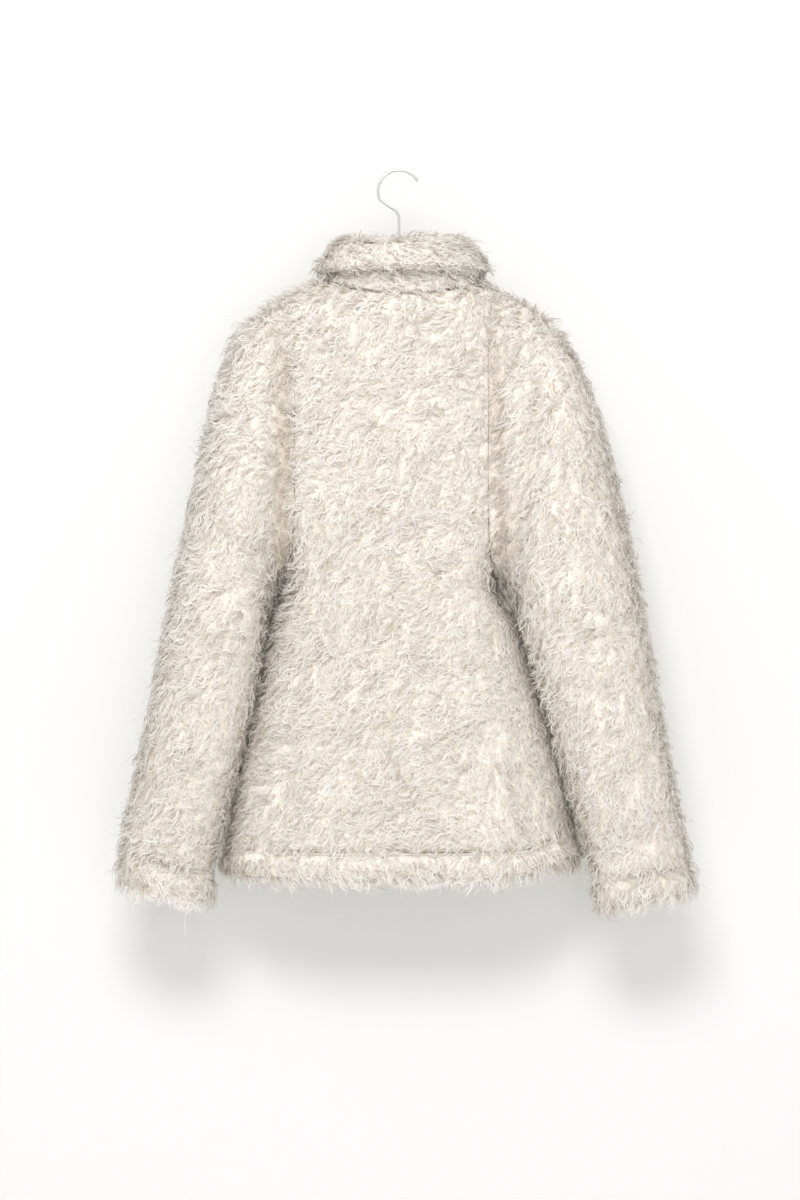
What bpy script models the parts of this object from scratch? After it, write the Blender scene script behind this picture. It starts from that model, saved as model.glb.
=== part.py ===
"""Long-pile jacket-like cardigan hung on a wire-hook hanger, built as its cut and sewn pieces.

Metres, +Z up. The garment's back faces -Y and its front +Y. The origin is the inside top of the
hook, where a rail holds it. Every wall is a loft: rings or rows of points worked out from the
tables below give its outer side, which the pile reaches, and the inner side lies a wall's
thickness in from it. The wearer's left is at -X.
"""
import math
from collections import namedtuple

import bmesh
import bpy
from mathutils import Vector

LEFT, RIGHT = -1, 1
BACK, FRONT = -1, 1

# Walls and seams
WALL = 0.012            # backing and pile together
SEAM = 0.0004           # gap between sewn pieces
REST = 0.0012           # gap between a sleeve and the body's side that it hangs against

# Heights
UNDERARM_Z = -0.465
HEM_SEAM_Z = -0.756
HEM_Z = -0.787
HEM_RISE = 0.013        # the hem climbs at the right side
RISE_FROM_X, RISE_WIDTH = 0.13, 0.05
RISE_TOP_Z = -0.60      # the climb fades out up to this height
NECK_X = 0.090          # half width of the neck seam
MIDDLE_X = 0.003        # centre line of collar, neck and front opening

# Grid of the body: segments from a side to the centre line, and rows below and above the underarm
ACROSS = 11
LOWER_ROWS = 8
UPPER_ROWS = 12
LAST_ROW = LOWER_ROWS + UPPER_ROWS
SETTLE = 6              # passes in which a point above the underarm settles on the rounded shoulder
NORMAL_STEP = 0.02      # share of a row or of the width over which a normal is measured

# Section of the body
SHOULDER_ROUND = 0.070  # the back and fronts roll over to the shoulder seam within this height
SHOULDER_POWER = 2.2
ARMHOLE_SIDE = 0.90     # depth of the armhole as a share of the body's depth
ARMHOLE_ROUND = 0.30    # share of the armhole's height that rounds its foot
ARMHOLE_X = {LEFT: 0.134, RIGHT: 0.113}
ARMHOLE_FOOT = 4        # points to each side of the underarm where the wall turns inwards

BodyRow = namedtuple("BodyRow", "z left right back front lean power")
BODY = (
    BodyRow(z=-0.790, left=0.203, right=0.208, back=0.084, front=0.076, lean=0.03, power=2.6),
    BodyRow(z=-0.700, left=0.189, right=0.193, back=0.083, front=0.074, lean=0.05, power=2.8),
    BodyRow(z=-0.620, left=0.172, right=0.173, back=0.081, front=0.073, lean=0.09, power=3.0),
    BodyRow(z=-0.550, left=0.156, right=0.152, back=0.079, front=0.072, lean=0.13, power=3.3),
    BodyRow(z=-0.500, left=0.146, right=0.134, back=0.078, front=0.071, lean=0.15, power=3.7),
    BodyRow(z=-0.465, left=0.134, right=0.113, back=0.077, front=0.070, lean=0.16, power=4.0),
    BodyRow(z=-0.350, left=0.134, right=0.113, back=0.076, front=0.069, lean=0.16, power=3.6),
    BodyRow(z=-0.200, left=0.134, right=0.113, back=0.073, front=0.067, lean=0.15, power=3.2),
    BodyRow(z=-0.100, left=0.134, right=0.113, back=0.070, front=0.065, lean=0.14, power=3.0),
)

# Shoulder line from the centre to the armhole, as the half widths and heights of its points
ShoulderPoint = namedtuple("ShoulderPoint", "x z")
SHOULDER = (
    ShoulderPoint(x=0.000, z=-0.1125),
    ShoulderPoint(x=0.030, z=-0.1130),
    ShoulderPoint(x=0.060, z=-0.1150),
    ShoulderPoint(x=0.090, z=-0.121),
    ShoulderPoint(x=0.113, z=-0.130),
    ShoulderPoint(x=0.134, z=-0.140),
    ShoulderPoint(x=0.160, z=-0.158),
    ShoulderPoint(x=0.182, z=-0.178),
)
NECK_DIP = {BACK: 0.021, FRONT: 0.030}   # fall of the neck seam from the side to the centre

# Sleeve sections: where the section's outer and inner ends lie, its half depth and its middle
SleeveRow = namedtuple("SleeveRow", "out_x out_z in_x in_z depth middle")
SLEEVE = {
    LEFT: (
        SleeveRow(out_x=0.134, out_z=-0.140, in_x=0.134, in_z=-0.4650, depth=0.066, middle=-0.003),
        SleeveRow(out_x=0.158, out_z=-0.156, in_x=0.1372, in_z=-0.4665, depth=0.069, middle=-0.006),
        SleeveRow(out_x=0.182, out_z=-0.179, in_x=0.1404, in_z=-0.4690, depth=0.073, middle=-0.010),
        SleeveRow(out_x=0.200, out_z=-0.222, in_x=0.1430, in_z=-0.4730, depth=0.075, middle=-0.013),
        SleeveRow(out_x=0.213, out_z=-0.272, in_x=0.1455, in_z=-0.4790, depth=0.076, middle=-0.017),
        SleeveRow(out_x=0.225, out_z=-0.325, in_x=0.1475, in_z=-0.4870, depth=0.076, middle=-0.021),
        SleeveRow(out_x=0.237, out_z=-0.380, in_x=0.1490, in_z=-0.4980, depth=0.075, middle=-0.024),
        SleeveRow(out_x=0.251, out_z=-0.450, in_x=0.1510, in_z=-0.5200, depth=0.072, middle=-0.026),
        SleeveRow(out_x=0.265, out_z=-0.524, in_x=0.1545, in_z=-0.5580, depth=0.068, middle=-0.028),
        SleeveRow(out_x=0.280, out_z=-0.602, in_x=0.1660, in_z=-0.6200, depth=0.063, middle=-0.030),
        SleeveRow(out_x=0.297, out_z=-0.685, in_x=0.1840, in_z=-0.6980, depth=0.057, middle=-0.031),
        SleeveRow(out_x=0.310, out_z=-0.755, in_x=0.2040, in_z=-0.7830, depth=0.048, middle=-0.032),
    ),
    RIGHT: (
        SleeveRow(out_x=0.113, out_z=-0.130, in_x=0.113, in_z=-0.4650, depth=0.066, middle=-0.003),
        SleeveRow(out_x=0.148, out_z=-0.147, in_x=0.1165, in_z=-0.4665, depth=0.069, middle=-0.006),
        SleeveRow(out_x=0.180, out_z=-0.176, in_x=0.1200, in_z=-0.4690, depth=0.073, middle=-0.010),
        SleeveRow(out_x=0.205, out_z=-0.213, in_x=0.1235, in_z=-0.4730, depth=0.075, middle=-0.013),
        SleeveRow(out_x=0.222, out_z=-0.258, in_x=0.1270, in_z=-0.4790, depth=0.077, middle=-0.017),
        SleeveRow(out_x=0.235, out_z=-0.303, in_x=0.1305, in_z=-0.4870, depth=0.077, middle=-0.021),
        SleeveRow(out_x=0.250, out_z=-0.360, in_x=0.1340, in_z=-0.4980, depth=0.076, middle=-0.024),
        SleeveRow(out_x=0.263, out_z=-0.425, in_x=0.1380, in_z=-0.5180, depth=0.074, middle=-0.026),
        SleeveRow(out_x=0.277, out_z=-0.498, in_x=0.1470, in_z=-0.5520, depth=0.070, middle=-0.028),
        SleeveRow(out_x=0.291, out_z=-0.585, in_x=0.1650, in_z=-0.6170, depth=0.065, middle=-0.030),
        SleeveRow(out_x=0.307, out_z=-0.675, in_x=0.1880, in_z=-0.6980, depth=0.058, middle=-0.031),
        SleeveRow(out_x=0.325, out_z=-0.772, in_x=0.2130, in_z=-0.7890, depth=0.049, middle=-0.032),
    ),
}
SLEEVE_STEPS = 2        # rings to a row of the table
SLEEVE_POWER = 2.15
ARMHOLE_BLEND = 5       # table rows over which the armhole's own outline fades out
CUFF = {LEFT: SleeveRow(0.3105, -0.792, 0.2060, -0.813, 0.046, -0.032),
        RIGHT: SleeveRow(0.3275, -0.799, 0.2165, -0.822, 0.047, -0.032)}

# Bands at hem and cuffs swell between their seam and their edge
BAND_SWELL = 0.004
BAND_STEPS = 3
BAND_END = 0.9          # share of the swell's arch at the edge
BAND_HIGH = 0.8         # below 1 the band is fullest nearer its seam

# Large folds, as troughs along a line seen from the back or front
Fold = namedtuple("Fold", "face x0 z0 x1 z1 depth width")
FOLDS = (
    Fold(face=BACK, x0=0.158, z0=-0.215, x1=0.144, z1=-0.300, depth=0.012, width=0.013),
    Fold(face=BACK, x0=0.144, z0=-0.300, x1=0.124, z1=-0.440, depth=0.014, width=0.013),
    Fold(face=BACK, x0=0.144, z0=-0.660, x1=0.142, z1=-0.735, depth=0.006, width=0.011),
    Fold(face=BACK, x0=-0.085, z0=-0.430, x1=-0.140, z1=-0.690, depth=0.004, width=0.022),
    Fold(face=BACK, x0=0.030, z0=-0.560, x1=0.062, z1=-0.740, depth=0.003, width=0.024),
    Fold(face=FRONT, x0=-0.105, z0=-0.300, x1=-0.120, z1=-0.620, depth=0.006, width=0.022),
    Fold(face=FRONT, x0=0.095, z0=-0.330, x1=0.125, z1=-0.690, depth=0.006, width=0.020),
    Fold(face=FRONT, x0=0.050, z0=-0.560, x1=0.048, z1=-0.740, depth=0.004, width=0.022),
    Fold(face=FRONT, x0=-0.055, z0=-0.600, x1=-0.060, z1=-0.745, depth=0.003, width=0.020),
)

# Collar: a stand that rises from the neck seam, and a fall turned down over it
COLLAR_TOP_Z = {BACK: -0.083, FRONT: -0.064}
COLLAR_EDGE_Z = {BACK: -0.119, FRONT: -0.112}
COLLAR_CLOSING = 0.69   # width of the collar's fold as a share of the neck seam's
STAND = 0.009           # thickness of the stand
FALL = 0.012            # thickness of the fall
UNDER_FALL = 0.0035     # air between fall and stand
RIM_IN, RIM_DOWN = 0.8, 0.6   # how a wall's thickness runs at the neck seam

# Corners of the collar's cut. Across: out from the fall's underside in thicknesses of the fall,
# and in from the stand's outer side in those of the stand. Up: in thicknesses of the fall.
CROWN_DROP = 0.55       # the stand's outer side ends this much of a fall's thickness under the top
AIR_DROP = 0.3          # and the air under the fall this much lower
FallCorner = namedtuple("FallCorner", "across up")
FALL_EDGE = (FallCorner(across=0.0, up=0.25), FallCorner(across=0.5, up=0.0),
             FallCorner(across=1.0, up=0.35))
FALL_TOP = (FallCorner(across=-1.40, up=0.10), FallCorner(across=-0.20, up=CROWN_DROP),
            FallCorner(across=0.80, up=0.15))

# Hanger
WIRE = 0.0031
HOOK_RADIUS = 0.0236
HOOK_START, HOOK_END = 28.0, 203.0        # degrees round the hook, from its tip
HOOK_BENDS = ((-0.0125, -0.0380), (-0.0035, -0.0440), (0.0, -0.0515))
HOOK_TURNS, BEND_STEPS = 22, 9
BAR = 0.012             # diameter of the hanger's arms
BAR_REACH = 0.160       # half length
BAR_TOP_Z = -0.124      # centre of the bar below the hook
BAR_DROOP = 0.006       # the arms' ends lie this much clearer of the cloth
BAR_STEPS = 24
RIDGE_STEP = 0.002      # reach to each side over which the shoulder's slope is measured

MATERIALS = {
    "cloth": ((0.84, 0.80, 0.73), 0.95, 0.0),
    "hook": ((0.62, 0.62, 0.62), 0.30, 1.0),
    "bar": ((0.80, 0.78, 0.74), 0.45, 0.0),
}


def clear_scene():
    for obj in list(bpy.data.objects):
        bpy.data.objects.remove(obj, do_unlink=True)


def make_material(name):
    colour, roughness, metallic = MATERIALS[name]
    material = bpy.data.materials.new(name)
    material.use_nodes = True
    shader = material.node_tree.nodes["Principled BSDF"]
    shader.inputs["Base Color"].default_value = (*colour, 1.0)
    shader.inputs["Roughness"].default_value = roughness
    shader.inputs["Metallic"].default_value = metallic
    return material


def smooth_read(knots, values, at):
    """Value of a smooth curve through (knot, value) pairs, with rising knots."""
    if at <= knots[0]:
        return values[0]
    if at >= knots[-1]:
        return values[-1]
    i = max(k for k in range(len(knots) - 1) if knots[k] <= at)
    span = knots[i + 1] - knots[i]
    u = (at - knots[i]) / span

    def slope(k):
        low, high = max(k - 1, 0), min(k + 1, len(knots) - 1)
        return (values[high] - values[low]) / (knots[high] - knots[low]) * span

    rise = values[i + 1] - values[i]
    start, end = slope(i), slope(i + 1)
    return values[i] + u * (start + u * (3 * rise - 2 * start - end + u * (start + end - 2 * rise)))


def body_size(column, z):
    return smooth_read([row.z for row in BODY], [getattr(row, column) for row in BODY], z)


def shoulder_z(x):
    return smooth_read([p.x for p in SHOULDER], [p.z for p in SHOULDER], abs(x))


def power(value, exponent):
    return math.copysign(abs(value) ** exponent, value)


def quarter(share, exponent):
    """Rise of a rounded corner from 0 to 1 as share goes from 0 to 1."""
    share = min(max(share, 0.0), 1.0)
    return (1 - (1 - share) ** exponent) ** (1 / exponent)


def trough(face, x, z):
    """How far the large folds press a point of that face in."""
    total = 0.0
    for fold in FOLDS:
        if fold.face != face:
            continue
        along = Vector((fold.x1 - fold.x0, fold.z1 - fold.z0))
        offset = Vector((x - fold.x0, z - fold.z0))
        share = min(max(offset.dot(along) / along.length_squared, 0.0), 1.0)
        distance = (offset - along * share).length
        total += fold.depth * math.exp(-(distance / fold.width) ** 2)
    return total


def top_z(face, x):
    """Height of a panel's upper edge: the shoulder seam, and the neck seam between its ends."""
    from_middle = abs(x - MIDDLE_X)
    if from_middle >= NECK_X:
        return shoulder_z(x)
    side_z = shoulder_z(math.copysign(NECK_X, x - MIDDLE_X) + MIDDLE_X)
    return side_z - NECK_DIP[face] * (1 - (from_middle / NECK_X) ** 2)


def row_height(row):
    """Height of a row below the underarm, or share of the way from it to the upper edge."""
    if row <= LOWER_ROWS:
        return HEM_SEAM_Z + (UNDERARM_Z - HEM_SEAM_Z) * row / LOWER_ROWS
    return (1 - math.cos(math.pi * (row - LOWER_ROWS) / UPPER_ROWS)) / 2


def hem_lift(x, z):
    """Rise of the hem at the right side, which fades out upwards."""
    sideways = min(max((x - RISE_FROM_X) / RISE_WIDTH, 0.0), 1.0)
    down = min(max((RISE_TOP_Z - z) / (RISE_TOP_Z - HEM_SEAM_Z), 0.0), 1.0)
    return HEM_RISE * sideways ** 2 * (3 - 2 * sideways) * down ** 2


def depth_of(face, z):
    return body_size("back" if face == BACK else "front", z)


def width_of(side, z):
    return body_size("left" if side == LEFT else "right", z)


def section_shares(turn, z):
    """Shares of the section's width and depth, turn going from 0 at the side to 1 at the centre."""
    angle = turn * math.pi / 2
    exponent = 2 / body_size("power", z)
    return power(math.cos(angle), exponent), power(math.sin(angle), exponent)


def leaned(z, y):
    """Growth of the body's width from its back to its front."""
    return 1 + body_size("lean", z) * y / body_size("back", z)


def body_point(side, face, row, t):
    """Outer point of the body: t goes from the side seam or armhole to the centre line."""
    if row <= LOWER_ROWS:
        z = row_height(row)
        across, deep = section_shares(t, z)
        y = face * depth_of(face, z) * deep
        x = side * width_of(side, z) * across * leaned(z, y) + MIDDLE_X * (1 - across)
        y -= face * trough(face, x, z) * (1 - (1 - t) * row / LOWER_ROWS)
        return Vector((x, y, z + hem_lift(x, z)))
    share = row_height(row)
    edge = ARMHOLE_SIDE * quarter(share / ARMHOLE_ROUND, SHOULDER_POWER)
    edge_z = UNDERARM_Z + (shoulder_z(ARMHOLE_X[side]) - UNDERARM_Z) * share
    start = 2 / math.pi * math.asin(edge ** (body_size("power", edge_z) / 2))
    across, deep = section_shares(start + (1 - start) * t, edge_z)
    width = ARMHOLE_X[side] / section_shares(start, edge_z)[0]
    x, y, z = side * width * across, 0.0, UNDERARM_Z
    for _ in range(SETTLE):
        z = UNDERARM_Z + (top_z(face, x) - UNDERARM_Z) * share
        roll = quarter((shoulder_z(x) - z) / SHOULDER_ROUND, SHOULDER_POWER)
        y = face * roll * (depth_of(face, z) * deep - trough(face, x, z) * t)
        x = side * width * across * leaned(UNDERARM_Z, y) + MIDDLE_X * (1 - across)
    return Vector((x, y, z))


def body_normal(side, face, row, t):
    """Outward unit normal of the body's surface."""
    low, high = max(row - NORMAL_STEP, 0), min(row + NORMAL_STEP, LAST_ROW)
    if low < LOWER_ROWS < high:
        low, high = (low, LOWER_ROWS) if row <= LOWER_ROWS else (LOWER_ROWS, high)
    along = body_point(side, face, high, t) - body_point(side, face, low, t)
    near, far = max(t - NORMAL_STEP, 0.0), min(t + NORMAL_STEP, 1.0)
    across = body_point(side, face, row, far) - body_point(side, face, row, near)
    normal = across.cross(along) * side * face
    return normal.normalized()


def armhole_turn(side):
    """Slope of the armhole's plane seen from above, which leans back towards the middle."""
    return body_size("lean", UNDERARM_Z) * ARMHOLE_X[side] / body_size("back", UNDERARM_Z)


def armhole_ring(side):
    """Outer and inner points round an armhole: up its back from the underarm, down its front."""
    outer = [body_point(side, BACK, LOWER_ROWS + k, 0.0) for k in range(UPPER_ROWS + 1)]
    outer += [body_point(side, FRONT, LOWER_ROWS + k, 0.0) for k in range(UPPER_ROWS - 1, 0, -1)]
    count = len(outer)
    inner = []
    for i, point in enumerate(outer):
        along = outer[(i + 1) % count] - outer[i - 1]
        foot = max(1 - min(i, count - i) / ARMHOLE_FOOT, 0.0)
        inward = Vector((0.0, along.z, -along.y)).normalized()
        inward.x = side * (armhole_turn(side) * inward.y - RIM_IN * foot)
        inner.append(point + inward.normalized() * WALL)
    return outer, inner


def neck_rim(point):
    """Way that a wall's thickness runs at the neck seam."""
    inward = Vector((MIDDLE_X - point.x, -point.y, 0.0)).normalized()
    down = RIM_DOWN * inward.x ** 2
    return (inward * RIM_IN + Vector((0.0, 0.0, -down))).normalized()


def body_inner(side, face, row, t, point):
    if row >= LOWER_ROWS and t == 0.0:
        ring = armhole_ring(side)[1]
        step = row - LOWER_ROWS
        return ring[step if face == BACK else -step]
    if row == LAST_ROW and abs(point.x - MIDDLE_X) <= NECK_X + SEAM:
        return point + neck_rim(point) * WALL
    return point - body_normal(side, face, row, t) * WALL


def half_row(side, face, row):
    """Outer and inner points of one row of half a panel, from its side to the centre line."""
    outer, inner = [], []
    for i in range(ACROSS + 1):
        outer.append(body_point(side, face, row, i / ACROSS))
    if row == LAST_ROW:
        corner = min(range(ACROSS), key=lambda i: abs(abs(outer[i].x - MIDDLE_X) - NECK_X))
        x = MIDDLE_X + side * NECK_X
        outer[corner] = Vector((x, 0.0, shoulder_z(x)))
    for i, point in enumerate(outer):
        inner.append(body_inner(side, face, row, i / ACROSS, point))
    return outer, inner


def seam_shift(face, outer, inner, row):
    """Draw a half panel's ends back from its side or shoulder seam."""
    for i, (out_point, in_point) in enumerate(zip(outer, inner)):
        on_side = i == 0 and row <= LOWER_ROWS
        on_shoulder = row == LAST_ROW and abs(out_point.x - MIDDLE_X) >= NECK_X - SEAM
        if on_side or on_shoulder:
            out_point.y = face * SEAM / 2
            in_point.y = face * SEAM / 2


def loft(name, outer, inner, material, round_rows=False):
    """Closed wall between an outer and an inner grid of points, rows by columns."""
    mesh = bmesh.new()
    rows, columns = len(outer), len(outer[0])
    skins = [[[mesh.verts.new(p) for p in row] for row in grid] for grid in (outer, inner)]
    spans = columns if round_rows else columns - 1
    for flip, skin in enumerate(skins):
        for r in range(rows - 1):
            for c in range(spans):
                d = (c + 1) % columns
                face = [skin[r][c], skin[r][d], skin[r + 1][d], skin[r + 1][c]]
                mesh.faces.new(face[::-1] if flip else face)
    out_skin, in_skin = skins
    for r, turned in ((0, True), (rows - 1, False)):
        for c in range(spans):
            d = (c + 1) % columns
            face = [out_skin[r][c], out_skin[r][d], in_skin[r][d], in_skin[r][c]]
            mesh.faces.new(face[::-1] if turned else face)
    if not round_rows:
        for c, turned in ((0, False), (columns - 1, True)):
            for r in range(rows - 1):
                face = [out_skin[r][c], out_skin[r + 1][c], in_skin[r + 1][c], in_skin[r][c]]
                mesh.faces.new(face[::-1] if turned else face)
    return finish_mesh(name, mesh, material)


def finish_mesh(name, mesh, material):
    bmesh.ops.recalc_face_normals(mesh, faces=mesh.faces)
    if mesh.calc_volume(signed=True) < 0:
        bmesh.ops.reverse_faces(mesh, faces=mesh.faces)
    bmesh.ops.triangulate(mesh, faces=mesh.faces)
    data = bpy.data.meshes.new(name)
    mesh.to_mesh(data)
    mesh.free()
    data.materials.append(material)
    data.shade_smooth()
    obj = bpy.data.objects.new(name, data)
    bpy.data.collections["cardigan"].objects.link(obj)
    return obj


def full_row(sides, halves):
    """Row of a piece that spans the given sides, from their half rows; one side stops at MIDDLE_X."""
    outer_row, inner_row = [], []
    for side, (outer, inner) in zip(sides, halves):
        if len(sides) == 1:
            for point in (outer[-1], inner[-1]):
                point.x = MIDDLE_X + side * SEAM / 2
        if side == RIGHT:
            outer.reverse()
            inner.reverse()
        joined = 1 if outer_row else 0
        outer_row += outer[joined:]
        inner_row += inner[joined:]
    return outer_row, inner_row


def build_panel(name, face, sides, material):
    """Wall of the body from its hem seam to the shoulder and neck."""
    grids = [], []
    for row in range(LAST_ROW + 1):
        halves = [half_row(side, face, row) for side in sides]
        for outer, inner in halves:
            seam_shift(face, outer, inner, row)
        for grid, points in zip(grids, full_row(sides, halves)):
            grid.append(points)
    loft(name, *grids, material)


def band_levels():
    """Share of the way down a band and its swell there, for each of its rows."""
    shares = [k / BAND_STEPS for k in range(BAND_STEPS + 1)]
    return [(k, math.sin(math.pi * min(k, BAND_END) ** BAND_HIGH)) for k in shares]


def hem_half(side, face, share, swell):
    """Row of the hem band, continued straight down from the body's lowest row."""
    outer, inner = half_row(side, face, 0)
    drop = SEAM + (HEM_SEAM_Z - HEM_Z - SEAM) * share
    for i, (out_point, in_point) in enumerate(zip(outer, inner)):
        normal = (out_point - in_point).normalized()
        for point, grow in ((out_point, swell), (in_point, -swell / 2)):
            point += normal * BAND_SWELL * grow
            point.z -= drop
        if i == 0:
            out_point.y = in_point.y = face * SEAM / 2
    return outer, inner


def build_hem(name, face, sides, material):
    grids = [], []
    for share, swell in band_levels():
        halves = [hem_half(side, face, share, swell) for side in sides]
        for grid, points in zip(grids, full_row(sides, halves)):
            grid.append(points)
    loft(name, *grids, material)


def sleeve_row(side, at):
    """Section of a sleeve at a place along its table, with the cuff's edge as the last row."""
    table = SLEEVE[side] + (CUFF[side],)
    knots = list(range(len(table)))
    return SleeveRow(*(smooth_read(knots, [row[c] for row in table], at)
                       for c in range(len(SleeveRow._fields))))


def body_side(side, y, z):
    """How far out the body's side reaches at that depth and height, below the underarm."""
    share = abs(y) / depth_of(FRONT if y > 0 else BACK, z)
    if share >= 1:
        return 0.0
    exponent = body_size("power", z)
    curve = (1 - share ** exponent) ** (1 / exponent)
    return width_of(side, z) * curve * leaned(z, y)


def oval(side, at, turned):
    """Points of a sleeve's section, from its inner end up its back and down its front."""
    row = sleeve_row(side, at)
    inner_end = Vector((side * row.in_x, 0.0, row.in_z))
    outer_end = Vector((side * row.out_x, 0.0, row.out_z))
    centre, arm = (inner_end + outer_end) / 2, (outer_end - inner_end) / 2
    points = []
    for c in range(2 * UPPER_ROWS):
        angle = math.pi * c / UPPER_ROWS
        along = -power(math.cos(angle), 2 / SLEEVE_POWER)
        y = row.middle - row.depth * power(math.sin(angle), 2 / SLEEVE_POWER)
        point = centre + arm * along
        point.y = y
        point.x += side * turned * y
        points.append(point)
    return points


def sleeve_ring(side, at):
    """Outer points of a sleeve's ring, kept clear of the body's side."""
    armhole = armhole_ring(side)[0]
    turn_first = armhole_turn(side)
    fade = max(1 - at / ARMHOLE_BLEND, 0.0) ** 2
    turned = turn_first * max(1 - at / (len(SLEEVE[side]) - 1), 0.0)
    first = oval(side, 0.0, turn_first)
    points = oval(side, at, turned)
    for c, point in enumerate(points):
        point += (armhole[c] - first[c]) * fade
        face = BACK if 0 < c < UPPER_ROWS else FRONT
        deep = abs(math.sin(math.pi * c / UPPER_ROWS)) * (1 - fade)
        point.y -= face * trough(face, point.x, point.z) * deep
        if at > 0 and point.z < UNDERARM_Z:
            limit = body_side(side, point.y, point.z) + REST
            if abs(point.x) < limit:
                point.x = side * limit
    return points


def ring_inner(rings, k):
    """Inner points of a ring, a wall's thickness in along the tube's normals."""
    count = len(rings[k])
    below, above = rings[max(k - 1, 0)], rings[min(k + 1, len(rings) - 1)]
    inner = []
    centre = sum(rings[k], Vector()) / count
    for c, point in enumerate(rings[k]):
        along = above[c] - below[c]
        around = rings[k][(c + 1) % count] - rings[k][c - 1]
        normal = along.cross(around).normalized()
        if normal.dot(point - centre) < 0:
            normal.negate()
        inner.append(point - normal * WALL)
    return inner


def build_sleeve(side, name, material):
    last = (len(SLEEVE[side]) - 1) * SLEEVE_STEPS
    outer = [sleeve_ring(side, k / SLEEVE_STEPS) for k in range(last + 1)]
    inner = [ring_inner(outer, k) for k in range(last + 1)]
    first_outer, first_inner = armhole_ring(side)
    shift = Vector((side * SEAM, 0.0, 0.0))
    outer[0] = [point + shift for point in first_outer]
    inner[0] = [point + shift for point in first_inner]
    loft("sleeve_" + name, outer, inner, material, round_rows=True)
    build_cuff(side, name, outer, inner, material)


def build_cuff(side, name, sleeve_outer, sleeve_inner, material):
    """Band that carries on from the sleeve's last ring to the cuff's edge."""
    edge = sleeve_ring(side, float(len(SLEEVE[side])))
    start_out, start_in = sleeve_outer[-1], sleeve_inner[-1]
    centre = sum(start_out, Vector()) / len(start_out)
    away = (sum(edge, Vector()) / len(edge) - centre).normalized() * SEAM
    outer_grid, inner_grid = [], []
    for share, swell in band_levels():
        outer_row, inner_row = [], []
        for out_point, in_point, end_point in zip(start_out, start_in, edge):
            normal = (out_point - in_point).normalized()
            path = (end_point - out_point - away) * share + away
            outer_row.append(out_point + path + normal * BAND_SWELL * swell)
            inner_row.append(in_point + path - normal * BAND_SWELL * swell / 2)
        outer_grid.append(outer_row)
        inner_grid.append(inner_row)
    loft("cuff_" + name, outer_grid, inner_grid, material, round_rows=True)


def neck_half(side, face):
    """Points of half the neck seam of a panel, from the shoulder to the centre."""
    edge = half_row(side, face, LAST_ROW)[0]
    return [point for point in edge if abs(point.x - MIDDLE_X) <= NECK_X + SEAM]


def collar_profile(base, face_share):
    """Outline of the collar's cut at one station, from the stand's foot over the fall and back."""
    outward = Vector((base.x - MIDDLE_X, base.y, 0.0))
    radius = outward.length
    outward.normalize()
    top = COLLAR_TOP_Z[BACK] + (COLLAR_TOP_Z[FRONT] - COLLAR_TOP_Z[BACK]) * face_share
    edge = COLLAR_EDGE_Z[BACK] + (COLLAR_EDGE_Z[FRONT] - COLLAR_EDGE_Z[BACK]) * face_share
    closing = 1 - (1 - COLLAR_CLOSING) * outward.x ** 2
    foot = base.z + SEAM
    lean = radius * (1 - closing) / (top - foot)

    def at(inset, z):
        return Vector((MIDDLE_X, 0.0, 0.0)) + outward * (radius - lean * (z - foot) - inset) \
            + Vector((0.0, 0.0, z))

    crown = top - FALL * CROWN_DROP
    under = crown - FALL * AIR_DROP
    start = base + Vector((0.0, 0.0, SEAM))
    stand_side = [start, at(0.0, (foot + crown) / 2), at(0.0, under)]
    fall_under = [at(-UNDER_FALL, under), at(-UNDER_FALL, (crown + edge) / 2)]
    fall_edge = [at(-UNDER_FALL - FALL * across, edge + FALL * up) for across, up in FALL_EDGE]
    fall_outer = [at(-UNDER_FALL - FALL, (crown + edge) / 2)]
    over = [at(STAND * across, crown + FALL * up) for across, up in FALL_TOP]
    stand_inner = [at(STAND, (foot + crown) / 2), start + neck_rim(base) * STAND]
    return stand_side + fall_under + fall_edge + fall_outer + over + stand_inner


def build_collar(material):
    """One strip round the neck, its two ends meeting at the centre front."""
    left = neck_half(LEFT, FRONT)[::-1] + neck_half(LEFT, BACK)[1:]
    right = neck_half(RIGHT, BACK)[::-1][1:] + neck_half(RIGHT, FRONT)[1:]
    reach = {BACK: abs(left[-1].y), FRONT: abs(left[0].y)}
    stations = []
    for base in left + right:
        face = FRONT if base.y > 0 else BACK
        stations.append((base, (1 + base.y / reach[face]) / 2))
    mesh = bmesh.new()
    loops = []
    for k, (base, face_share) in enumerate(stations):
        profile = collar_profile(base, face_share)
        if k in (0, len(stations) - 1):
            side = LEFT if k == 0 else RIGHT
            for point in profile:
                point.x = MIDDLE_X + side * SEAM / 2
        loops.append([mesh.verts.new(point) for point in profile])
    count = len(loops[0])
    for low, high in zip(loops, loops[1:]):
        for c in range(count):
            d = (c + 1) % count
            mesh.faces.new((low[c], low[d], high[d], high[c]))
    for loop in (loops[0], loops[-1]):
        mesh.faces.new(loop)
    finish_mesh("collar", mesh, material)


def wire_object(name, points, diameter, material, resolution):
    curve = bpy.data.curves.new(name, "CURVE")
    curve.dimensions = "3D"
    curve.bevel_depth = diameter / 2
    curve.bevel_resolution = resolution
    curve.use_fill_caps = True
    spline = curve.splines.new("POLY")
    spline.points.add(len(points) - 1)
    for spline_point, point in zip(spline.points, points):
        spline_point.co = (*point, 1.0)
    curve.materials.append(material)
    obj = bpy.data.objects.new(name, curve)
    bpy.data.collections["cardigan"].objects.link(obj)
    return obj


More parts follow.
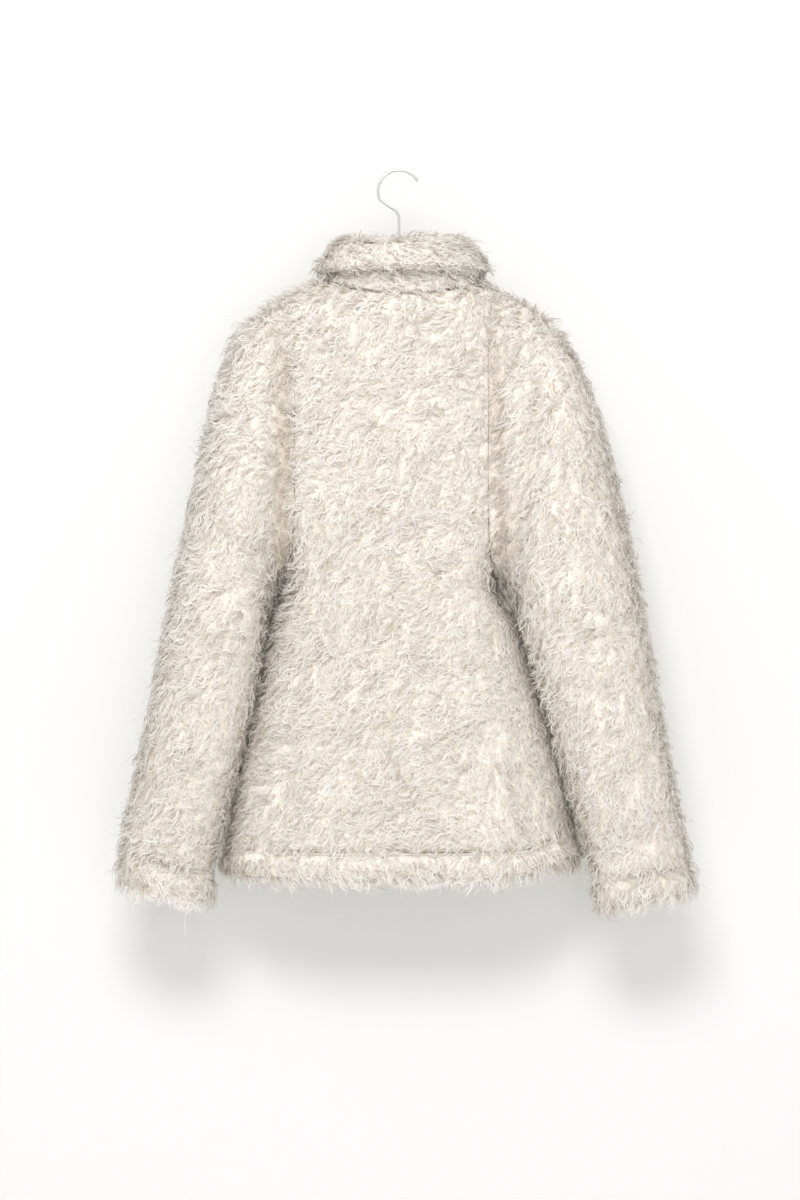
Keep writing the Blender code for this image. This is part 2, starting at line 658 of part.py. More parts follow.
def build_hook(material):
    """Open hook, a bend back to the middle and a stem down to the bar."""
    centre_z = WIRE / 2 - HOOK_RADIUS
    points = []
    for k in range(HOOK_TURNS + 1):
        angle = math.radians(HOOK_START + (HOOK_END - HOOK_START) * k / HOOK_TURNS)
        points.append(Vector((HOOK_RADIUS * math.cos(angle), 0.0,
                              centre_z + HOOK_RADIUS * math.sin(angle))))
    guide = [points[-1]] + [Vector((x, 0.0, z)) for x, z in HOOK_BENDS]
    knots = list(range(len(guide)))
    for k in range(1, BEND_STEPS + 1):
        at = k / BEND_STEPS * knots[-1]
        points.append(Vector((smooth_read(knots, [p.x for p in guide], at), 0.0,
                              smooth_read(knots, [p.z for p in guide], at))))
    points.append(Vector((0.0, 0.0, BAR_TOP_Z + BAR / 2 + SEAM)))
    wire_object("hanger_hook", points, WIRE, material, 3)


def ridge_normal(x):
    slope = (shoulder_z(x + RIDGE_STEP) - shoulder_z(x - RIDGE_STEP)) / (2 * RIDGE_STEP)
    return Vector((-slope, 0.0, 1.0)).normalized()


def build_bar(material):
    """Plain arms that run just under the inside of the shoulders."""
    points = []
    for k in range(BAR_STEPS + 1):
        x = BAR_REACH * (2 * k / BAR_STEPS - 1)
        droop = BAR_DROOP * (max(abs(x) - NECK_X, 0.0) / (BAR_REACH - NECK_X)) ** 2
        down = ridge_normal(x) * (WALL + SEAM + droop + BAR / 2)
        under = Vector((x, 0.0, shoulder_z(x))) - down
        middle = min(max(1 - abs(x) / NECK_X, 0.0), 1.0)
        under.z += (BAR_TOP_Z - under.z) * middle ** 2 * (3 - 2 * middle)
        points.append(under)
    wire_object("hanger_bar", points, BAR, material, 2)


def build():
    clear_scene()
    collection = bpy.data.collections.new("cardigan")
    bpy.context.scene.collection.children.link(collection)
    cloth = make_material("cloth")
    build_panel("back", BACK, (LEFT, RIGHT), cloth)
    build_panel("front_left", FRONT, (LEFT,), cloth)
    build_panel("front_right", FRONT, (RIGHT,), cloth)
    build_hem("hem_back", BACK, (LEFT, RIGHT), cloth)
    build_hem("hem_front_left", FRONT, (LEFT,), cloth)
    build_hem("hem_front_right", FRONT, (RIGHT,), cloth)
    build_sleeve(LEFT, "left", cloth)
    build_sleeve(RIGHT, "right", cloth)
    build_collar(cloth)
    build_hook(make_material("hook"))
    build_bar(make_material("bar"))


build()
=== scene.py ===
import math
from collections import namedtuple

import bpy
import numpy as np
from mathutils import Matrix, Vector, noise
from mathutils.bvhtree import BVHTree
from mathutils.kdtree import KDTree


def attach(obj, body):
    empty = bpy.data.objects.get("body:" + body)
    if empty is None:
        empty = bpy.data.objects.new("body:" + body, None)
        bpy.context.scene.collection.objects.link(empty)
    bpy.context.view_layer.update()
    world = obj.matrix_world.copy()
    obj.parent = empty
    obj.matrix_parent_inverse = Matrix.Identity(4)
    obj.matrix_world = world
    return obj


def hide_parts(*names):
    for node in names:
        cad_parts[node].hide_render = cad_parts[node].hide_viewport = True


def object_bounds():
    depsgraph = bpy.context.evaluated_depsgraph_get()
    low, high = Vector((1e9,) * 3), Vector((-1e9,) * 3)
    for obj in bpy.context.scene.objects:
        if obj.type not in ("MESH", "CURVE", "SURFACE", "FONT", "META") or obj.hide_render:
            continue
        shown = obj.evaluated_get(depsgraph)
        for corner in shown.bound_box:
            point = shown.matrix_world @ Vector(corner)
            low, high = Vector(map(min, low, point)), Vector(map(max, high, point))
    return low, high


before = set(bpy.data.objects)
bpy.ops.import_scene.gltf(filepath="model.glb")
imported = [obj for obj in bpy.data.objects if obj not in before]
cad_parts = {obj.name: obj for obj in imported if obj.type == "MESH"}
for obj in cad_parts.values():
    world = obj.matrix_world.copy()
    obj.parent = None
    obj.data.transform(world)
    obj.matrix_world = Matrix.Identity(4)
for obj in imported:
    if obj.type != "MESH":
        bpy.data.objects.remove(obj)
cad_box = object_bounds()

# Camera: level, square to the garment's back. A pixel is 1.12 mm at the hanger's plane.
PIXEL = 0.00112
FRAME_HEIGHT = 1200
CAMERA_AT = (0.0011, -3.0, -0.480)
SENSOR = 36.0

# Shells
DIVISIONS = 2
SKIN = 0.00002            # points nearer than this are one, and rays start this far out
PILE_DEPTH = 0.0055       # the backing lies this far under the reach of the pile
COLLAR_PILE_DEPTH = 0.0035
DEEPEST = 0.0085          # the backing is nowhere set back more than this
CLOSE = 0.00018           # cloths are this much fuller, so that sewn edges meet
SHARP = math.radians(50)
SEAM = 0.0012             # a face this near another wall is sewn to it
SHEET_Y = 0.03            # seams farther out than this lie on the back or the front,
ACROSS_SEAM = (0.1, 1.0, 1.0)         # and both their sides are set back the same way

# What counts as a cloth's outside
FACES_OUT = 0.35          # how squarely a face looks away from the hollow's middle
LEANS_OUT = 0.05          # a point counts from this far short of square to that
COLLAR_LEANS_OUT = 0.55
OUTER_SOFT = 0.25         # how quickly a wall's face counts as its outside
FURRED = 0.5              # from how far outward on it carries pile
COLLAR_MIDDLE_X = 0.003
BODY_MIDDLE_X = (-0.08, 0.07)
BODY_MIDDLE_Z = (-0.75, -0.20)

# Folds
DEEP_FOLD = 0.0065        # a fold this deep shortens its pile most and gets the most painted shade
FOLD_ENDS = 0.08          # share of a fold's length left at its ends, so that they stay soft
FOLD_EDGE = 1.5
FOLD_SHORTENS = 0.45
# Painted shade: the colour that darkens pile and backing in the deep folds
FOLD_PAINTED_SHADE = (0.76, 0.72, 0.68, 1.0)

# Locks of strands
CLUMP_AREA = 0.55e-4
CLUMP_PULL = 0.19         # share of the way to its lock's middle, for each stretch
LEAST_CLUMPS = 4
CLUMP_EDGE = 1.6
CLUMP_TURN = 0.3
CLUMP_LENGTHS = (0.8, 1.2)
CLUMP_CURL = 1.9
CLUMP_TONE = 0.35         # share of a strand's tone that its lock has at random, the rest is painted shade from its place in it, darker at the lock's edge

# Strands
SEGMENTS = 4
LENGTH = 0.022
LENGTHS = (0.7, 1.2)
COLLAR_SHORTER = 0.8
HALF_WIDTH = 0.00056
HALF_WIDTHS = (0.6, 1.35)
WIDTHS = (0.9, 1.0, 1.0, 0.7)         # of a strand at its stops, as shares of its widest
TWIST = 0.45
LIFTS = (50, 26, 4, -10)              # degrees that each stretch rises from the cloth
WILD, WILD_LONGER, WILD_LIFT, WILD_THIN = 0.06, 0.35, 24, 0.55
OWN_TURN, OWN_CURL, OWN_PHASE = 0.2, 0.5, 0.35
WAVE, WAVES = 0.75, 1.3               # how far and how often a strand winds on its way
LIFT_WAVE, LIFT_WAVES = 10, 5
HANG = 0.3                            # how far the way down leans out from the body
ROOT = 0.001                          # strands start this far inside the backing
SOFT_NORMAL = 0.6                     # share of the cloth's own normal in a strand's shading
OWN_TONE = 0.2
LEAN = 2                              # how much a strand leans away from the hollow's middle
RAY_START = 0.0015
ROOM = 0.016                          # a strand is shortened, and darkened with painted shade, where a wall is nearer than this
LEAST_ROOM = 0.12
# Least length and darkest painted shade of a crowded strand, and how soon the painted shade fades
# with room
LEAST_LENGTH, CRAMPED_PAINTED_SHADE = 0.35, 0.55
ROOM_PAINTED_SHADE = 1.3
FLATTER = (0.3, 1.0, 0.3)             # ways through the cloth, turned towards its thickness
REACH = 0.014                         # the pile ends within this much of the solids' own box
TINY = 1e-9
SEED = 7

# The way the pile lies, in degrees
BAND_LAY, BAND_DRIFT = 12, 0.8
COLLAR_LAY = 50
SLEEVE_LEFT_LAY, SLEEVE_RIGHT_LAY = -48, -25
BACK_LAY, SHOULDER_LAY = -52, -24     # on the back, and what is added at the shoulders
SHOULDERS_Z = (-0.42, -0.22)
RIGHT_X, RIGHT_LESS = (0.05, 0.14), 0.6
WIDE_DRIFT, FINE_DRIFT = (9.0, 60), (31.0, 55)       # fineness and degrees of its wandering
DRIFT_SHIFT = Vector((5, 1, 3))

# One long hair that hangs from the cuff
STRAY_NODE = "cuff_left"
STRAY = ((-0.2325, -0.0650, -0.8080), (-0.2335, -0.0680, -0.8200), (-0.2342, -0.0690, -0.8320),
         (-0.2338, -0.0690, -0.8430), (-0.2325, -0.0685, -0.8530))
STRAY_TONE, STRAY_THICKNESS = 0.7, 0.6

# The cloths: strands to a square metre, middle of the hollow, flat sizes and flat area
Cloth = namedtuple("Cloth", "node density axis flat area")
BODY_AXIS = "body"
COLLAR_AXIS = "collar"
LEFT_AXIS = ((-0.150, -0.005, -0.220), (-0.185, -0.018, -0.400), (-0.205, -0.027, -0.530),
             (-0.257, -0.032, -0.800))
RIGHT_AXIS = ((0.145, -0.005, -0.220), (0.180, -0.018, -0.400), (0.208, -0.027, -0.530),
              (0.272, -0.032, -0.800))
CLOTHS = (
    Cloth("back", 84000, BODY_AXIS, (0.50, 0.60), 0.215),
    Cloth("front_left", 42000, BODY_AXIS, (0.26, 0.60), 0.125),
    Cloth("front_right", 42000, BODY_AXIS, (0.26, 0.60), 0.115),
    Cloth("sleeve_left", 80000, LEFT_AXIS, (0.40, 0.62), 0.19),
    Cloth("sleeve_right", 80000, RIGHT_AXIS, (0.43, 0.65), 0.22),
    Cloth("collar", 150000, COLLAR_AXIS, (0.52, 0.10), 0.049),
    Cloth("hem_back", 100000, BODY_AXIS, (0.52, 0.035), 0.018),
    Cloth("hem_front_left", 100000, BODY_AXIS, (0.26, 0.035), 0.009),
    Cloth("hem_front_right", 100000, BODY_AXIS, (0.26, 0.035), 0.009),
    Cloth("cuff_left", 100000, LEFT_AXIS, (0.33, 0.04), 0.012),
    Cloth("cuff_right", 100000, RIGHT_AXIS, (0.34, 0.04), 0.012),
)

# Soft folds of the cloth, along lines seen from the back (-1) or the front (1)
Fold = namedtuple("Fold", "face x0 z0 x1 z1 depth width")
FOLDS = (
    Fold(-1, -0.1275, -0.185, -0.1275, -0.330, 0.0060, 0.012),
    Fold(-1, -0.1275, -0.290, -0.1285, -0.475, 0.0068, 0.012),
    Fold(-1, 0.1050, -0.170, 0.1090, -0.290, 0.0050, 0.011),
    Fold(-1, 0.1080, -0.265, 0.1175, -0.475, 0.0062, 0.012),
    Fold(-1, 0.157, -0.223, 0.144, -0.297, 0.0030, 0.008),
    Fold(-1, 0.145, -0.290, 0.126, -0.426, 0.0030, 0.009),
    Fold(-1, -0.312, -0.755, -0.202, -0.783, 0.0040, 0.005),
    Fold(-1, 0.327, -0.772, 0.211, -0.789, 0.0040, 0.005),
    Fold(-1, -0.190, -0.756, 0.130, -0.756, 0.0032, 0.005),
    Fold(-1, 0.125, -0.756, 0.185, -0.744, 0.0032, 0.005),
    Fold(1, -0.312, -0.755, -0.202, -0.783, 0.0040, 0.005),
    Fold(1, 0.327, -0.772, 0.211, -0.789, 0.0040, 0.005),
    Fold(1, -0.190, -0.756, 0.190, -0.756, 0.0030, 0.005),
    Fold(-1, -0.070, -0.250, -0.020, -0.262, 0.0016, 0.012),
    Fold(-1, 0.010, -0.330, 0.085, -0.300, 0.0018, 0.014),
    Fold(-1, -0.100, -0.420, -0.030, -0.395, 0.0020, 0.013),
    Fold(-1, -0.115, -0.540, -0.020, -0.490, 0.0022, 0.015),
    Fold(-1, 0.015, -0.450, 0.095, -0.425, 0.0018, 0.012),
    Fold(-1, -0.120, -0.650, 0.000, -0.600, 0.0022, 0.016),
    Fold(-1, 0.020, -0.655, 0.110, -0.610, 0.0020, 0.014),
    Fold(-1, -0.060, -0.715, 0.060, -0.690, 0.0018, 0.013),
    Fold(-1, -0.235, -0.420, -0.165, -0.395, 0.0020, 0.012),
    Fold(-1, -0.250, -0.560, -0.180, -0.520, 0.0024, 0.014),
    Fold(-1, -0.280, -0.690, -0.215, -0.650, 0.0022, 0.013),
    Fold(-1, 0.175, -0.360, 0.225, -0.340, 0.0020, 0.011),
    Fold(-1, 0.190, -0.530, 0.255, -0.495, 0.0024, 0.014),
    Fold(-1, 0.225, -0.680, 0.290, -0.640, 0.0022, 0.013),
    Fold(1, -0.133, -0.200, -0.134, -0.455, 0.0045, 0.008),
    Fold(1, 0.113, -0.190, 0.114, -0.455, 0.0045, 0.008),
    Fold(1, 0.030, -0.330, 0.095, -0.310, 0.0018, 0.013),
    Fold(1, -0.100, -0.450, -0.020, -0.430, 0.0020, 0.014),
    Fold(1, 0.025, -0.560, 0.120, -0.520, 0.0022, 0.015),
    Fold(1, -0.130, -0.640, -0.030, -0.600, 0.0020, 0.013),
    Fold(1, -0.250, -0.540, -0.185, -0.500, 0.0022, 0.013),
    Fold(1, 0.195, -0.510, 0.255, -0.480, 0.0022, 0.013),
    Fold(1, 0.230, -0.670, 0.290, -0.640, 0.0020, 0.012),
    Fold(1, -0.280, -0.670, -0.220, -0.640, 0.0020, 0.012),
)


def mesh_arrays(mesh):
    count = len(mesh.vertices)
    places = np.empty(count * 3)
    mesh.vertices.foreach_get("co", places)
    normals = np.empty(count * 3)
    mesh.vertices.foreach_get("normal", normals)
    return places.reshape(-1, 3), normals.reshape(-1, 3)


def triangles_of(mesh):
    mesh.calc_loop_triangles()
    corners = np.empty(len(mesh.loop_triangles) * 3, np.int32)
    mesh.loop_triangles.foreach_get("vertices", corners)
    return corners.reshape(-1, 3)


def nearest_on_line(points, line):
    """Nearest point of a line of straight runs to each point."""
    best = np.full(len(points), np.inf)
    nearest = np.zeros_like(points)
    for start, end in zip(line, line[1:]):
        start, end = np.array(start), np.array(end)
        along = end - start
        share = np.clip((points - start) @ along / (along @ along), 0, 1)
        place = start + share[:, None] * along
        distance = np.linalg.norm(points - place, axis=1)
        closer = distance < best
        best[closer] = distance[closer]
        nearest[closer] = place[closer]
    return nearest


def outwardness(points, normals, axis):
    """1 where a wall's surface faces away from the middle of its hollow, 0 where it faces it.

    Also gives the unit way from that middle to each point.
    """
    leans = LEANS_OUT
    flat = np.zeros(len(points))
    if axis == COLLAR_AXIS:
        middle = np.stack([flat + COLLAR_MIDDLE_X, flat, points[:, 2]], axis=1)
        leans = COLLAR_LEANS_OUT
    elif axis == BODY_AXIS:
        middle = np.stack([np.clip(points[:, 0], *BODY_MIDDLE_X), flat,
                           np.clip(points[:, 2], *BODY_MIDDLE_Z)], axis=1)
    else:
        middle = nearest_on_line(points, axis)
    away = unit(points - middle)
    facing = np.sum(normals * away, axis=1)
    return np.clip((facing + leans) / OUTER_SOFT, 0, 1), away


def creases(points):
    """How much deeper the cloth lies in the soft folds, for each point."""
    total = np.zeros(len(points))
    for fold in FOLDS:
        start, end = np.array((fold.x0, fold.z0)), np.array((fold.x1, fold.z1))
        along = end - start
        offset = points[:, [0, 2]] - start
        share = np.clip(offset @ along / (along @ along), 0, 1)
        distance = np.linalg.norm(offset - share[:, None] * along, axis=1)
        swell = np.sin(np.pi * np.clip(share, FOLD_ENDS, 1 - FOLD_ENDS)) ** 0.5
        press = fold.depth * swell * np.exp(-(distance / fold.width) ** 2)
        total += press * (points[:, 1] * fold.face > 0)
    return total


def fold_share(points):
    """How far a point is in the deep folds, 0 to 1; it shortens the pile there and sets its painted
    shade.
    """
    return np.clip(creases(points) / DEEP_FOLD, 0, 1) ** FOLD_EDGE


def give_values(mesh, label, values):
    values_by_point = mesh.attributes.new(label, "FLOAT", "POINT")
    values_by_point.data.foreach_set("value", values.astype(np.float32))


def new_object(name, mesh):
    obj = bpy.data.objects.new(name, mesh)
    bpy.context.scene.collection.objects.link(obj)
    return obj


def walls_of(objects):
    """The faces of all these objects, for finding what lies near them."""
    points, faces = [], []
    for obj in objects:
        start = len(points)
        points += [v.co.copy() for v in obj.data.vertices]
        faces += [[start + i for i in p.vertices] for p in obj.data.polygons]
    return BVHTree.FromPolygons(points, faces)


def outside_ways(mesh, away, sewn):
    """Way out of the cloth at each point, from its outside alone, and which points are on that."""
    ways = np.zeros_like(away)
    for face, hidden in zip(mesh.polygons, sewn):
        corners = list(face.vertices)
        facing = np.array(face.normal)
        if not hidden and facing @ away[corners].mean(axis=0) > FACES_OUT:
            ways[corners] += facing * face.area
    inner = np.linalg.norm(ways, axis=1) < TINY
    ways[inner] = away[inner]
    joined = np.zeros(len(away), bool)
    for face, hidden in zip(mesh.polygons, sewn):
        joined[list(face.vertices)] |= hidden
    depth = np.array([abs(v.co.y) for v in mesh.vertices])
    ways[joined & (depth > SHEET_Y)] *= ACROSS_SEAM
    return unit(ways), ~inner


def make_shell(cloth, solids):
    """The node's form in finer faces, its outside set back to where the pile is rooted.

    Also says which of its faces are sewn to another cloth.
    """
    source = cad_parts[cloth.node]
    work = new_object("work", source.data.copy())
    weld = work.modifiers.new("weld", "WELD")
    weld.merge_threshold = SKIN
    divide = work.modifiers.new("divide", "SUBSURF")
    divide.subdivision_type = "SIMPLE"
    divide.levels = DIVISIONS
    graph = bpy.context.evaluated_depsgraph_get()
    mesh = bpy.data.meshes.new_from_object(work.evaluated_get(graph))
    bpy.data.objects.remove(work, do_unlink=True)
    points, normals = mesh_arrays(mesh)
    outer, away = outwardness(points, normals, cloth.axis)
    sewn = np.array([solids.ray_cast(p.center + p.normal * SKIN, p.normal, SEAM)[0] is not None
                     for p in mesh.polygons])
    ways, outside = outside_ways(mesh, away, sewn)
    outer = np.maximum(outer, outside)
    depth = COLLAR_PILE_DEPTH if cloth.node == "collar" else PILE_DEPTH
    depth = np.minimum(depth + creases(points), DEEPEST)
    points = points + normals * CLOSE - ways * (depth * outer)[:, None]
    mesh.vertices.foreach_set("co", points.ravel())
    mesh.update()
    # Painted shade: the backing is coloured browner and darker in the deep folds by this value
    give_values(mesh, "fold", fold_share(points) * outer)
    mesh.shade_smooth()
    mesh.set_sharp_from_angle(angle=SHARP)
    shell = new_object("cloth_" + cloth.node, mesh)
    mesh.materials.clear()
    return shell, sewn


def scatter(mesh, cloth, sewn, rng):
    """Even random points on a shell's outside, the way out at each, and the outside's area."""
    points, normals = mesh_arrays(mesh)
    corners = triangles_of(mesh)
    a, b, c = (points[corners[:, k]] for k in range(3))
    area = np.linalg.norm(np.cross(b - a, c - a), axis=1) / 2
    middle = (a + b + c) / 3
    facing = normals[corners].mean(axis=1)
    facing /= np.linalg.norm(facing, axis=1)[:, None]
    outer, away = outwardness(middle, facing, cloth.axis)
    of_face = np.array([t.polygon_index for t in mesh.loop_triangles])
    area = area * (outer > FURRED) * ~sewn[of_face]
    count = int(area.sum() * cloth.density)
    pick = rng.choice(len(corners), count, p=area / area.sum())
    u, v = rng.random(count), rng.random(count)
    over = u + v > 1
    u[over], v[over] = 1 - u[over], 1 - v[over]
    weights = np.stack([1 - u - v, u, v], axis=1)[:, :, None]
    places = (points[corners[pick]] * weights).sum(axis=1)
    ways = unit((normals[corners[pick]] * weights).sum(axis=1))
    if cloth.node != "collar":
        ways = unit(ways + LEAN * away[pick])
    return places, ways, area.sum()


def lay_angle(place, node):
    """Way that the pile lies there, in degrees from straight down towards the right of the photo."""
    x, _, z = place
    point = Vector(place)
    drift = noise.noise(point * WIDE_DRIFT[0]) * WIDE_DRIFT[1]
    drift += noise.noise(point * FINE_DRIFT[0] + DRIFT_SHIFT) * FINE_DRIFT[1]
    if node.startswith(("hem", "cuff")):
        return BAND_LAY + BAND_DRIFT * drift
    if node == "collar":
        return COLLAR_LAY + drift
    if node.startswith("sleeve"):
        return (SLEEVE_RIGHT_LAY if x > 0 else SLEEVE_LEFT_LAY) + drift
    upper = np.interp(z, SHOULDERS_Z, (0, 1))
    right = np.interp(x, RIGHT_X, (0, 1))
    return (BACK_LAY + SHOULDER_LAY * upper) * (1 - RIGHT_LESS * right) + drift


def unit(vectors):
    return vectors / np.maximum(np.linalg.norm(vectors, axis=1), TINY)[:, None]


def clump_table(places, node, area, rng):
    """Locks: their middle, the way they lie, and what their strands share."""
    count = max(int(area / CLUMP_AREA), LEAST_CLUMPS)
    pick = rng.choice(len(places), min(count, len(places)), replace=False)
    tree = KDTree(len(pick))
    for i, k in enumerate(pick):
        tree.insert(places[k], i)
    tree.balance()
    found = [tree.find(p) for p in places]
    nearest = np.array([hit[1] for hit in found])
    outwards = np.array([hit[2] for hit in found]) / math.sqrt(CLUMP_AREA)
    angle = np.radians([lay_angle(places[k], node) for k in pick])
    angle += rng.normal(0, CLUMP_TURN, len(pick))
    return {
        "of": nearest,
        "edge": np.clip(outwards * CLUMP_EDGE, 0, 1) ** 2,
        "middle": places[pick],
        "angle": angle,
        "length": rng.uniform(*CLUMP_LENGTHS, len(pick)),
        "curl": rng.uniform(-CLUMP_CURL, CLUMP_CURL, len(pick)),
        "phase": rng.uniform(0, 2 * math.pi, len(pick)),
        "tone": rng.random(len(pick)),
    }


def add_stray(path, normals, tone, thickness, press):
    """One long hair that hangs from the cuff."""
    path = np.concatenate([path, np.array(STRAY)[:, None]], axis=1)
    normals = np.concatenate([normals, [(0.0, -1.0, 0.0)]])
    tone, thickness = np.append(tone, STRAY_TONE), np.append(thickness, STRAY_THICKNESS)
    return path, normals, tone, thickness, np.append(press, 0.0)


def room_above(walls, places, normals):
    """Free height over each root, up to ROOM."""
    room = np.full(len(places), ROOM)
    for i, (place, way) in enumerate(zip(places, normals)):
        clear = Vector(way[k] * FLATTER[k] for k in range(3)).normalized()
        hit = walls.ray_cast(Vector(place) + clear * RAY_START, clear, ROOM)
        if hit[0] is not None and hit[1].dot(clear) < 0:
            room[i] = hit[3]
    return room


def grow(name, cloth, shell, sewn, walls, rng):
    """All the strands of one piece, as tapered ribbons in one mesh."""
    places, normals, area = scatter(shell.data, cloth, sewn, rng)
    clumps = clump_table(places, cloth.node, area, rng)
    of = clumps["of"]
    count = len(places)
    room = room_above(walls, places, normals)
    short = np.clip(room / ROOM, LEAST_ROOM, 1.0)

    down = np.tile((0.0, 0.0, -1.0), (count, 1))
    down += np.stack([normals[:, 0] * 0, np.where(normals[:, 1] > 0, HANG, -HANG),
                      normals[:, 0] * 0], axis=1)
    lay = unit(down - normals * np.sum(down * normals, axis=1)[:, None])
    side = np.cross(normals, lay)
    facing = np.where(normals[:, 1] < 0, 1.0, -1.0)
    angle = clumps["angle"][of] * facing + rng.normal(0, OWN_TURN, count)
    wild = rng.random(count) < WILD
    length = LENGTH * clumps["length"][of] * rng.uniform(*LENGTHS, count) * (1 + WILD_LONGER * wild)
    length *= LEAST_LENGTH + (1 - LEAST_LENGTH) * short
    # press shortens the strands in the deep folds and also sets their painted shade there
    press = fold_share(places)
    length *= 1 - FOLD_SHORTENS * press
    if cloth.node == "collar":
        length *= COLLAR_SHORTER
    curl = clumps["curl"][of] + rng.normal(0, OWN_CURL, count)
    phase = clumps["phase"][of] + rng.normal(0, OWN_PHASE, count)

    path = [places - normals * ROOT]
    pull = (clumps["middle"][of] - places) * CLUMP_PULL
    pull -= normals * np.sum(pull * normals, axis=1)[:, None]
    for k, lift in enumerate(LIFTS):
        s = (k + 0.5) / SEGMENTS
        heading = angle + curl * (s - 0.3) + WAVE * np.sin(2 * math.pi * WAVES * s + phase)
        rise = lift + WILD_LIFT * wild * (k > 0) + LIFT_WAVE * np.sin(phase + LIFT_WAVES * s)
        rise = np.radians(rise) * short
        flat = lay * np.cos(heading)[:, None] + side * np.sin(heading)[:, None]
        step = flat * np.cos(rise)[:, None] + normals * np.sin(rise)[:, None]
        path.append(path[-1] + step * (length / SEGMENTS)[:, None] + pull)
    path = np.clip(np.stack(path), np.array(cad_box[0]) - REACH, np.array(cad_box[1]) + REACH)
    # Painted shade between locks: strands darker towards their lock's edge, mixed with each lock's
    # random tone
    tone = clumps["tone"][of] * CLUMP_TONE + (1 - CLUMP_TONE) * (1 - clumps["edge"])
    # Painted shade: strands are darker where a wall crowds them, in grooves, gaps and under the
    # collar's fall
    tone *= CRAMPED_PAINTED_SHADE + (1 - CRAMPED_PAINTED_SHADE) * np.clip(room / ROOM * ROOM_PAINTED_SHADE, 0, 1)
    hairs = path, normals, tone, np.where(wild, WILD_THIN, 1.0), press
    if cloth.node == STRAY_NODE:
        hairs = add_stray(*hairs)
    return build_ribbons(name, *hairs, rng)


def build_ribbons(name, path, normals, tone, thickness, press, rng):
    """Ribbons along the paths, widest near a third of their length, drawn out to a point."""
    stops, count, _ = path.shape
    twist = rng.normal(0, TWIST, count)
    half = HALF_WIDTH * thickness * rng.uniform(*HALF_WIDTHS, count)
    rows, facing = [], []
    for k in range(stops - 1):
        along = unit(path[min(k + 1, stops - 1)] - path[max(k - 1, 0)])
        wide = unit(np.cross(along, normals))
        up = np.cross(wide, along)
        wide = wide * np.cos(twist)[:, None] + up * np.sin(twist)[:, None]
        reach = wide * (half * WIDTHS[k])[:, None]
        rows += [path[k] - reach, path[k] + reach]
        face = np.cross(wide, along)
        face *= np.where(np.sum(face * normals, axis=1) < 0, -1, 1)[:, None]
        soft = unit(normals * SOFT_NORMAL + face * (1 - SOFT_NORMAL))
        facing += [soft, soft]
    rows.append(path[-1])
    facing.append(facing[-1])
    verts = np.stack(rows, axis=1).reshape(-1, 3)
    per = 2 * (stops - 1) + 1
    base = (np.arange(count) * per)[:, None]
    quads = np.concatenate([base + np.array([2 * k, 2 * k + 1, 2 * k + 3, 2 * k + 2])
                            for k in range(stops - 2)], axis=0)
    tips = base + np.array([per - 3, per - 2, per - 1])
    mesh = bpy.data.meshes.new(name)
    mesh.vertices.add(len(verts))
    mesh.vertices.foreach_set("co", verts.ravel())
    loops = np.concatenate([quads.ravel(), tips.ravel()]).astype(np.int32)
    starts = np.concatenate([np.arange(len(quads)) * 4,
                             len(quads) * 4 + np.arange(len(tips)) * 3]).astype(np.int32)
    mesh.loops.add(len(loops))
    mesh.loops.foreach_set("vertex_index", loops)
    mesh.polygons.add(len(starts))
    mesh.polygons.foreach_set("loop_start", starts)
    mesh.update(calc_edges=True)
    mesh.shade_smooth()
    mesh.normals_split_custom_set_from_vertices(np.stack(facing, axis=1).reshape(-1, 3))
    along = np.repeat(np.arange(stops - 1) / (stops - 1), 2)
    along = np.tile(np.append(along, 1.0), count)
    across = np.tile(np.append(np.tile((-1.0, 1.0), stops - 1), 0.0), count)
    own = np.repeat(np.clip(tone * (1 - OWN_TONE) + rng.random(count) * OWN_TONE, 0, 1), per)
    # The fold value carries the painted shade of the deep folds to the strands
    for label, values in (("along", along), ("across", across), ("tone", own),
                          ("fold", np.repeat(press, per))):
        give_values(mesh, label, values)
    return new_object(name, mesh)


def node_tree(name):
    material = bpy.data.materials.new(name)
    material.use_nodes = True
    nodes = material.node_tree.nodes
    return material, nodes, material.node_tree.links, nodes["Principled BSDF"]


def ramp(nodes, links, value, stops):
    """Colours along a value, from the stops' places."""
    node = nodes.new("ShaderNodeValToRGB")
    while len(node.color_ramp.elements) < len(stops):
        node.color_ramp.elements.new(0.5)
    for element, (place, colour) in zip(node.color_ramp.elements, stops):
        element.position = place
        element.color = (*colour, 1.0)
    links.new(value, node.inputs["Fac"])
    return node.outputs["Color"]


def mesh_value(nodes, name):
    node = nodes.new("ShaderNodeAttribute")
    node.attribute_name = name
    return node.outputs["Fac"]


def object_noise(nodes, links, scale):
    place = nodes.new("ShaderNodeTexCoord")
    texture = nodes.new("ShaderNodeTexNoise")
    texture.inputs["Scale"].default_value = scale
    links.new(place.outputs["Object"], texture.inputs["Vector"])
    return texture


def multiply(nodes, links, colour):
    """A node that multiplies the colour."""
    mix = nodes.new("ShaderNodeMix")
    mix.data_type = "RGBA"
    mix.blend_type = "MULTIPLY"
    links.new(colour, mix.inputs[6])
    return mix


def add_bump(nodes, links, shader, height, strength, distance):
    bump = nodes.new("ShaderNodeBump")
    bump.inputs["Strength"].default_value = strength
    bump.inputs["Distance"].default_value = distance
    links.new(height, bump.inputs["Height"])
    links.new(bump.outputs["Normal"], shader.inputs["Normal"])


def painted_fold_shade(nodes, links, colour):
    """The colour, with painted shade: browner and darker in the deep folds."""
    deep = multiply(nodes, links, colour)
    links.new(mesh_value(nodes, "fold"), deep.inputs["Factor"])
    deep.inputs[7].default_value = FOLD_PAINTED_SHADE
    return deep.outputs[2]


